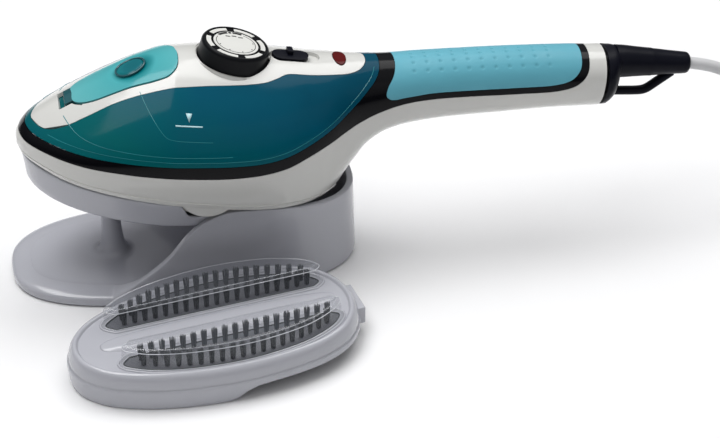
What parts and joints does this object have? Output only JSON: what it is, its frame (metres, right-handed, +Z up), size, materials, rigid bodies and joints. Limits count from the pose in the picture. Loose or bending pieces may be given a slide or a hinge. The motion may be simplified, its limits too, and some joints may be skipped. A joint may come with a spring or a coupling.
{
  "type": "handheld garment steamer",
  "caption": "Handheld garment steamer with a translucent tank, flip-up fill lid, dial, steam slider and gripped handle, resting on its moulded stand with a bristle attachment and a coiled lead.",
  "frame": {"origin": "centre of the stand's underside, on the surface it rests on", "axes": "+X from the steamer's nose to its handle, +Y across the body away from the bristle attachment, +Z up"},
  "size_m": [0.5278, 0.2242, 0.1402],
  "materials": {
    "white_shell": "warm off-white moulded plastic, gloss",
    "black_trim": "black moulded plastic",
    "tank_teal": "translucent deep teal moulded plastic",
    "lid_teal": "translucent light teal moulded plastic",
    "grip_blue": "soft light blue overmould, matte",
    "lens_red": "dark red lens",
    "aluminium_plate": "cast and pressed aluminium",
    "steel": "plated steel",
    "seal_rubber": "silicone rubber",
    "pads": "rubber pads",
    "valve_plastic": "plain moulded plastic",
    "valve_needle": "plain moulded plastic",
    "lamp_glass": "neon lamp",
    "fuse": "metal can",
    "dial_black": "satin black plastic",
    "dial_face": "off-white printed disc",
    "wire_insulation": "wire insulation",
    "cord_grey": "light grey cable sheath",
    "tie": "black strap",
    "lavender": "light lavender-grey moulded plastic, semi-gloss",
    "bristles": "dark nylon bristle",
    "clear_cover": "clear plastic"
  },
  "bodies": {
    "stand": {"stand_base": "lavender", "stand_tray": "lavender", "stand_feet": "pads", "stand_screws": "steel", "tray_pads": "pads"},
    "fill_lid": {"fill_lid": "lid_teal", "lid_plug": "seal_rubber"},
    "dial": {"dial_knob": "dial_black", "dial_face": "dial_face", "dial_spindle": "steel"},
    "steam_slider": {"steam_slider": "black_trim"},
    "steam_valve": {"valve_needle": "valve_needle"},
    "brush": {"brush_frame": "lavender", "bristle_plates": "bristles", "tufts_near": "bristles", "tufts_far": "bristles", "brush_screws": "steel"},
    "bristle_cover_near": {"bristle_cover_near": "clear_cover"},
    "bristle_cover_far": {"bristle_cover_far": "clear_cover"},
    "steamer": {"lower_housing": "white_shell", "upper_cover": "white_shell", "mid_frame": "black_trim", "cord_boot": "black_trim", "end_cap": "black_trim", "heat_skirt": "black_trim", "water_tank": "tank_teal", "grip": "grip_blue", "indicator_lens": "lens_red", "soleplate": "aluminium_plate", "steam_chamber": "aluminium_plate", "chamber_cover": "aluminium_plate", "heating_element": "steel", "lid_hinge_pin": "steel", "steamer_screws": "steel", "plug_pins": "steel", "thermostat": "steel", "chamber_gasket": "seal_rubber", "fill_gasket": "seal_rubber", "valve_body": "valve_plastic", "terminal_block": "valve_plastic", "cord_clamp": "valve_plastic", "indicator_lamp": "lamp_glass", "thermal_fuse": "fuse", "inner_wires": "wire_insulation", "power_cord": "cord_grey", "cord_coil": "cord_grey", "cord_tail": "cord_grey", "lead_core": "cord_grey", "plug_body": "cord_grey", "cord_tie": "tie"}
  },
  "joints": [
    {"name": "steamer_lift", "type": "slide", "parent": "stand", "child": "steamer", "axis": [0, 0, 1], "range_m": [0, 0.06]},
    {"name": "lid_hinge", "type": "hinge", "parent": "steamer", "child": "fill_lid", "pos_m": [-0.06055, 0, 0.1091], "axis": [0, -1, 0], "range_deg": [0, 80]},
    {"name": "dial_turn", "type": "hinge", "parent": "steamer", "child": "dial", "pos_m": [0.03156, 0, 0.12453], "axis": [0.2521, 0, 0.9677], "range_deg": [-135, 135]},
    {"name": "slider_travel", "type": "slide", "parent": "steamer", "child": "steam_slider", "axis": [0.9863, 0, -0.165], "range_m": [0, 0.0046]},
    {"name": "valve_travel", "type": "slide", "parent": "steamer", "child": "steam_valve", "axis": [0.1236, 0, 0.9923], "range_m": [0, 0.0014]},
    {"name": "brush_lift", "type": "slide", "parent": "stand", "child": "brush", "axis": [0, 0, 1], "range_m": [0, 0.03]},
    {"name": "cover_near_lift", "type": "slide", "parent": "brush", "child": "bristle_cover_near", "axis": [0, 0, 1], "range_m": [0, 0.03]},
    {"name": "cover_far_lift", "type": "slide", "parent": "brush", "child": "bristle_cover_far", "axis": [0, 0, 1], "range_m": [0, 0.03]}
  ],
  "couplings": [
    {"joint": "valve_travel", "follows": "slider_travel", "ratio": 0.3}
  ]
}
